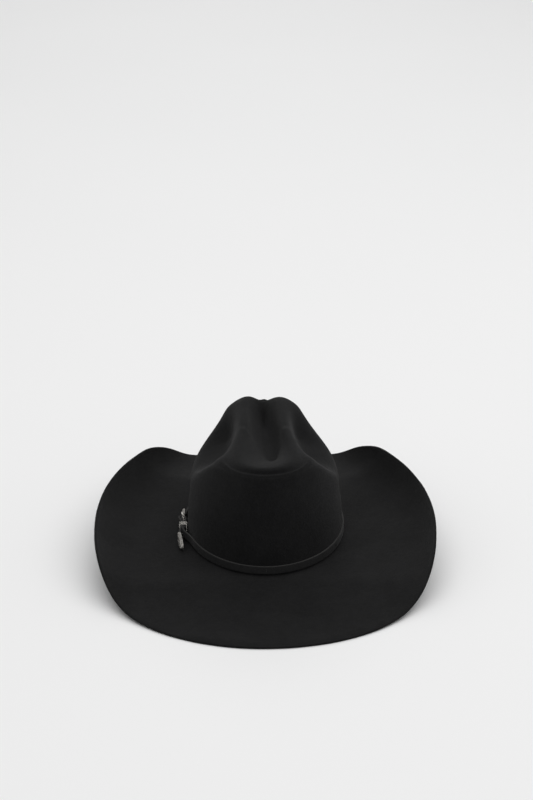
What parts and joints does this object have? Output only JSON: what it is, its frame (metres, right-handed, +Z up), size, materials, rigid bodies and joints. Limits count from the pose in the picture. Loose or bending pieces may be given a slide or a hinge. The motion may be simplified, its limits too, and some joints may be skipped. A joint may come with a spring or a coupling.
{
  "type": "cowboy hat",
  "caption": "Felt western hat with a three-crease crown, a brim rolled up at the sides, and a narrow felt band with buckle, keeper and metal tip; leather sweatband and lining inside.",
  "frame": {"origin": "middle of the hat's outline on the floor it stands on", "axes": "+Z up; the hat faces -Y, so +Y is the back of the head; +X is the wearer's left, where the buckle is"},
  "size_m": [0.3394, 0.4441, 0.1267],
  "materials": {
    "felt": "short-napped black fur felt, cut raw at the brim's edge",
    "band_felt": "the same black felt, cut to a strip with pale cut edges",
    "silver": "antique silver plate, dark in the engraving",
    "leather": "smooth dark brown roan leather",
    "reed": "extruded plastic cord",
    "tape": "woven black cotton tape",
    "thread": "black sewing thread",
    "bow_satin": "black satin ribbon",
    "satin": "grey-beige lining satin"
  },
  "bodies": {
    "hat": {"felt_body": "felt", "hatband": "band_felt", "hatband_tacks": "thread", "strap_tip": "silver", "strap_tip_rivet": "silver", "sweatband": "leather", "sweatband_reed": "reed", "reed_tape": "tape", "sweatband_stitches": "thread", "seam_stitches": "thread", "sweatband_bow": "bow_satin", "lining_side": "satin", "lining_tip": "satin", "lining_piping": "satin"},
    "buckle": {"buckle_frame": "silver"},
    "prong": {"buckle_prong": "silver"},
    "keeper": {"keeper": "silver"}
  },
  "joints": [
    {"name": "buckle_tilt", "type": "hinge", "parent": "hat", "child": "buckle", "pos_m": [0.0832, -0.004, 0.02017], "axis": [0, 0, 1], "range_deg": [0, 3]},
    {"name": "prong_lift", "type": "hinge", "parent": "buckle", "child": "prong", "pos_m": [0.0832, -0.004, 0.02017], "axis": [0, 0, 1], "range_deg": [0, 10]},
    {"name": "keeper_slide", "type": "slide", "parent": "hat", "child": "keeper", "axis": [0, 1, 0], "range_m": [-0.003, 0.003]}
  ]
}
